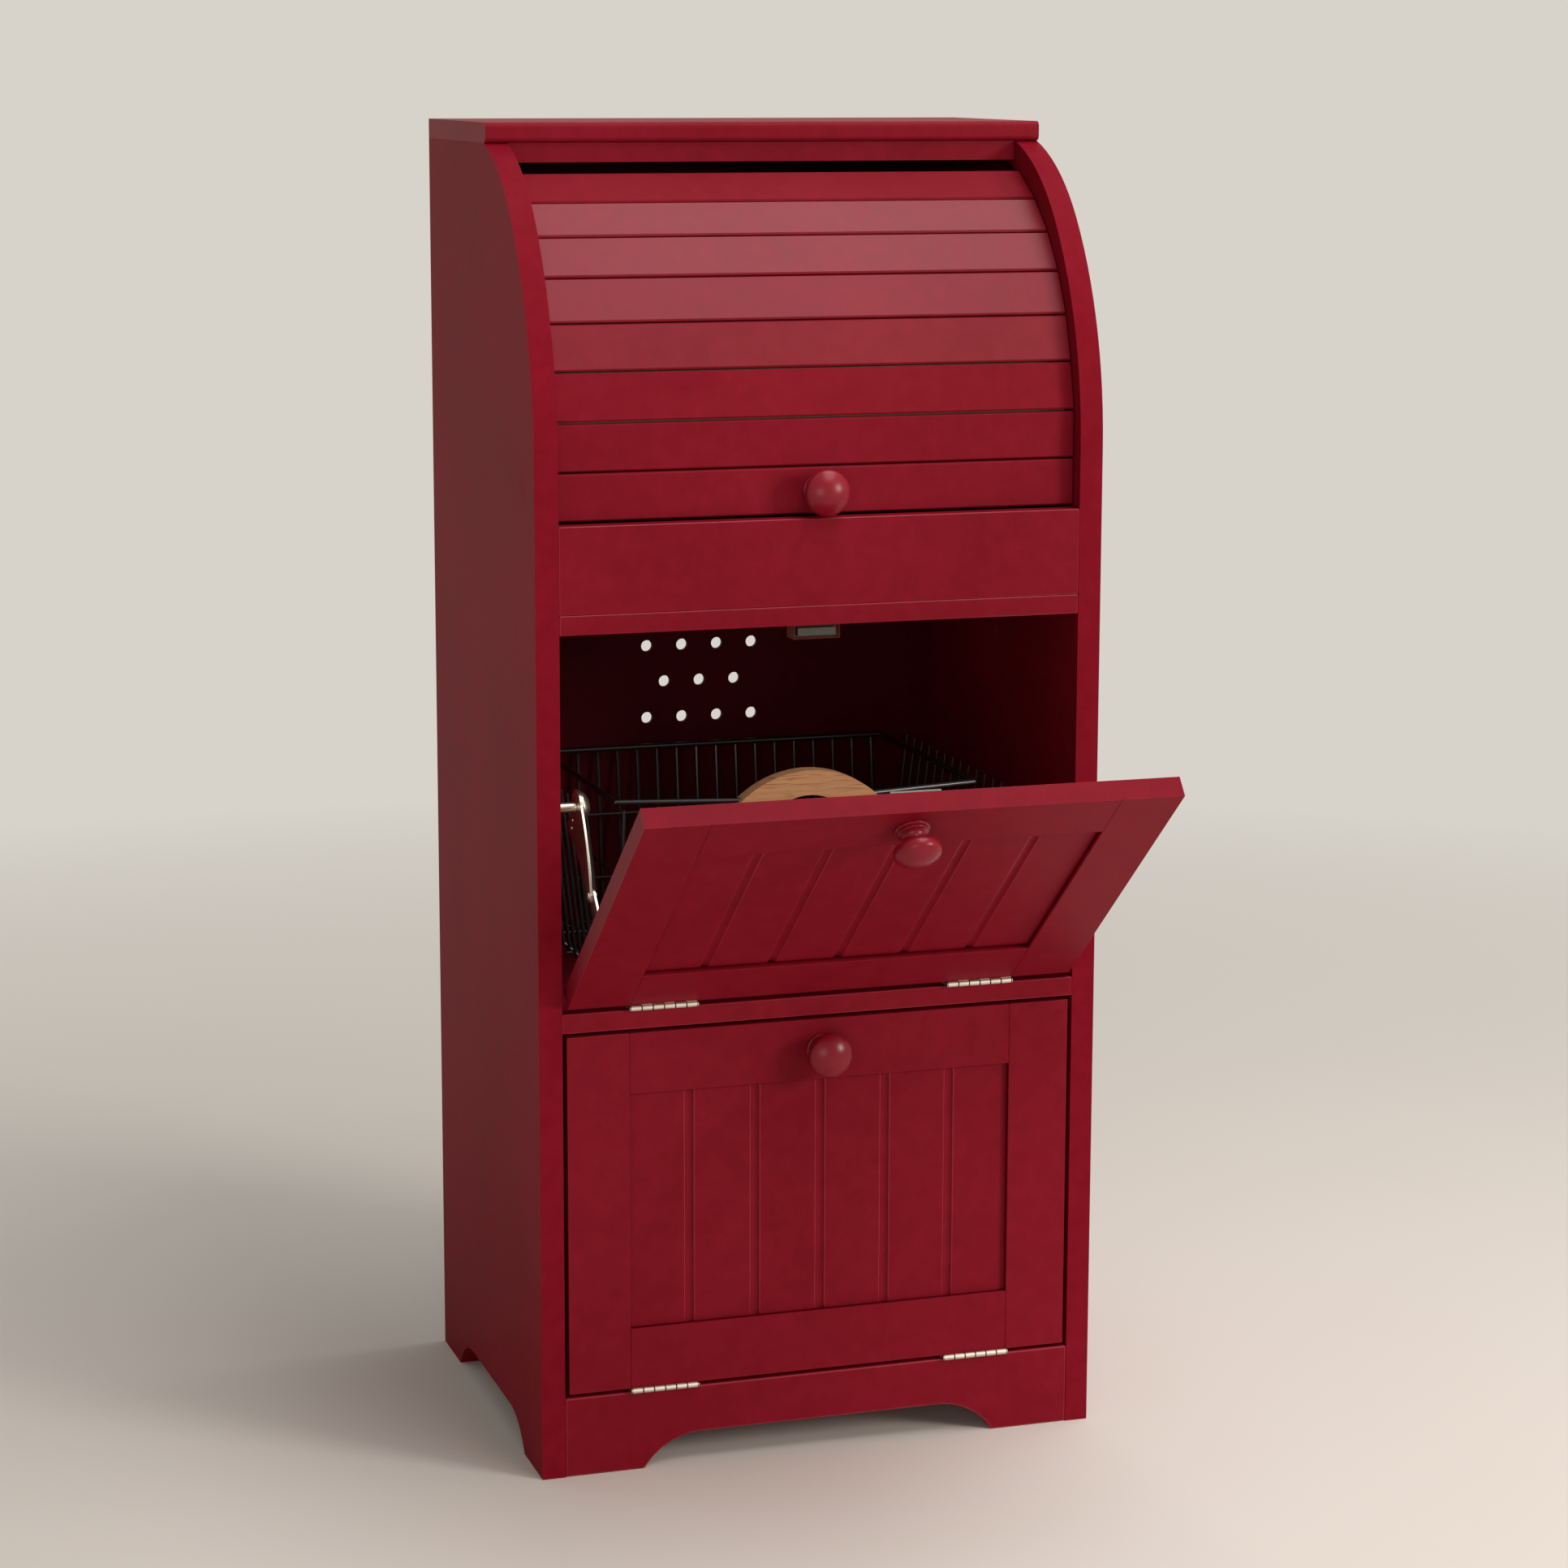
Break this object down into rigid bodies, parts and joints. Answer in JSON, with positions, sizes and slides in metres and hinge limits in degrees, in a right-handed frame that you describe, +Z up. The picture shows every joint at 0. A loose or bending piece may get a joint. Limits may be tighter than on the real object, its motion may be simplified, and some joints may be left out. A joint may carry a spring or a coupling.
{
  "type": "tilt out vegetable bin cabinet",
  "caption": "Painted wooden kitchen cabinet with a curved sliding tambour bread box over tilting bin doors, each with a lift-out wire basket.",
  "frame": {"origin": "on the floor, midway between the side panels and midway between the back of the cabinet and the foremost point of the open upper door's knob", "axes": "+Z is up, +X is to the right seen from the front, and +Y is to the back. At rest the upper door is open by 50 degrees, and the lower door and the tambour are shut, as in the picture."},
  "size_m": [0.442, 0.5546, 1.01],
  "materials": {
    "red_paint": "solid wood under a satin deep red paint",
    "handle_wood": "pale hardwood, smooth and oiled",
    "dowel_wood": "plain beech",
    "nickel_steel": "bright nickel plate on steel",
    "black_wire": "steel wire in a satin black coat",
    "catch_plastic": "moulded reddish brown plastic",
    "canvas": "plain woven cloth glued to the slats"
  },
  "bodies": {
    "cabinet": {"left_side_panel": "red_paint", "right_side_panel": "red_paint", "top_board": "red_paint", "top_rail": "red_paint", "back_panel": "red_paint", "bread_shelf": "red_paint", "front_fascia": "red_paint", "divider_shelf": "red_paint", "bottom_shelf": "red_paint", "apron": "red_paint", "shelf_dowels": "dowel_wood", "cover_caps": "red_paint", "magnetic_catches": "catch_plastic", "cabinet_screws": "nickel_steel", "hinge_cabinet_leaves": "nickel_steel", "hinge_pins": "nickel_steel", "stay_side_brackets": "nickel_steel"},
    "tambour": {"tambour_slat_1": "red_paint", "tambour_slat_2": "red_paint", "tambour_slat_3": "red_paint", "tambour_slat_4": "red_paint", "tambour_slat_5": "red_paint", "tambour_slat_6": "red_paint", "tambour_slat_7": "red_paint", "tambour_slat_8": "red_paint", "tambour_canvas": "canvas", "tambour_knob": "red_paint", "tambour_knob_screw": "nickel_steel"},
    "upper_door": {"upper_door_left_stile": "red_paint", "upper_door_right_stile": "red_paint", "upper_door_top_rail": "red_paint", "upper_door_bottom_rail": "red_paint", "upper_door_beaded_panel": "red_paint", "upper_door_knob": "red_paint", "upper_door_screws": "nickel_steel", "upper_door_strike_plate": "nickel_steel", "upper_door_hinge_leaves": "nickel_steel", "upper_door_stay_bracket": "nickel_steel"},
    "upper_stay_arm": {"upper_stay_arm": "nickel_steel"},
    "upper_stay_link": {"upper_stay_link": "nickel_steel"},
    "upper_basket": {"upper_basket_rim": "black_wire", "upper_basket_walls": "black_wire", "upper_basket_floor": "black_wire", "upper_basket_handle": "handle_wood"},
    "lower_door": {"lower_door_left_stile": "red_paint", "lower_door_right_stile": "red_paint", "lower_door_top_rail": "red_paint", "lower_door_bottom_rail": "red_paint", "lower_door_beaded_panel": "red_paint", "lower_door_knob": "red_paint", "lower_door_screws": "nickel_steel", "lower_door_strike_plate": "nickel_steel", "lower_door_hinge_leaves": "nickel_steel", "lower_door_stay_bracket": "nickel_steel"},
    "lower_stay_arm": {"lower_stay_arm": "nickel_steel"},
    "lower_stay_link": {"lower_stay_link": "nickel_steel"},
    "lower_basket": {"lower_basket_rim": "black_wire", "lower_basket_walls": "black_wire", "lower_basket_floor": "black_wire", "lower_basket_handle": "handle_wood"}
  },
  "joints": [
    {"name": "tambour_slide", "type": "hinge", "parent": "cabinet", "child": "tambour", "pos_m": [0, 0.16735, 0.78503], "axis": [-1, 0, 0], "range_deg": [0, 52]},
    {"name": "upper_door_hinge", "type": "hinge", "parent": "cabinet", "child": "upper_door", "pos_m": [0, -0.05665, 0.3615], "axis": [1, 0, 0], "range_deg": [-50, 0]},
    {"name": "lower_door_hinge", "type": "hinge", "parent": "cabinet", "child": "lower_door", "pos_m": [0, -0.05665, 0.0635], "axis": [1, 0, 0], "range_deg": [0, 50]},
    {"name": "upper_stay_arm_pivot", "type": "hinge", "parent": "cabinet", "child": "upper_stay_arm", "pos_m": [-0.1825, -0.02365, 0.51], "axis": [1, 0, 0], "range_deg": [0, 53.06]},
    {"name": "upper_stay_link_pivot", "type": "hinge", "parent": "upper_door", "child": "upper_stay_link", "pos_m": [-0.1802, -0.08743, 0.42127], "axis": [1, 0, 0], "range_deg": [0, 37.35]},
    {"name": "lower_stay_arm_pivot", "type": "hinge", "parent": "cabinet", "child": "lower_stay_arm", "pos_m": [-0.1825, -0.02365, 0.212], "axis": [1, 0, 0], "range_deg": [-53.06, 0]},
    {"name": "lower_stay_link_pivot", "type": "hinge", "parent": "lower_door", "child": "lower_stay_link", "pos_m": [-0.1802, -0.03065, 0.1255], "axis": [1, 0, 0], "range_deg": [-37.35, 0]},
    {"name": "upper_basket_lift", "type": "slide", "parent": "cabinet", "child": "upper_basket", "axis": [0, 0, 1], "range_m": [0, 0.09]},
    {"name": "lower_basket_lift", "type": "slide", "parent": "cabinet", "child": "lower_basket", "axis": [0, 0, 1], "range_m": [0, 0.09]}
  ],
  "couplings": [
    {"joint": "upper_stay_arm_pivot", "follows": "upper_door_hinge", "ratio": -1.0611},
    {"joint": "upper_stay_link_pivot", "follows": "upper_door_hinge", "ratio": -0.74692},
    {"joint": "lower_stay_arm_pivot", "follows": "lower_door_hinge", "ratio": -1.0611},
    {"joint": "lower_stay_link_pivot", "follows": "lower_door_hinge", "ratio": -0.74692}
  ]
}
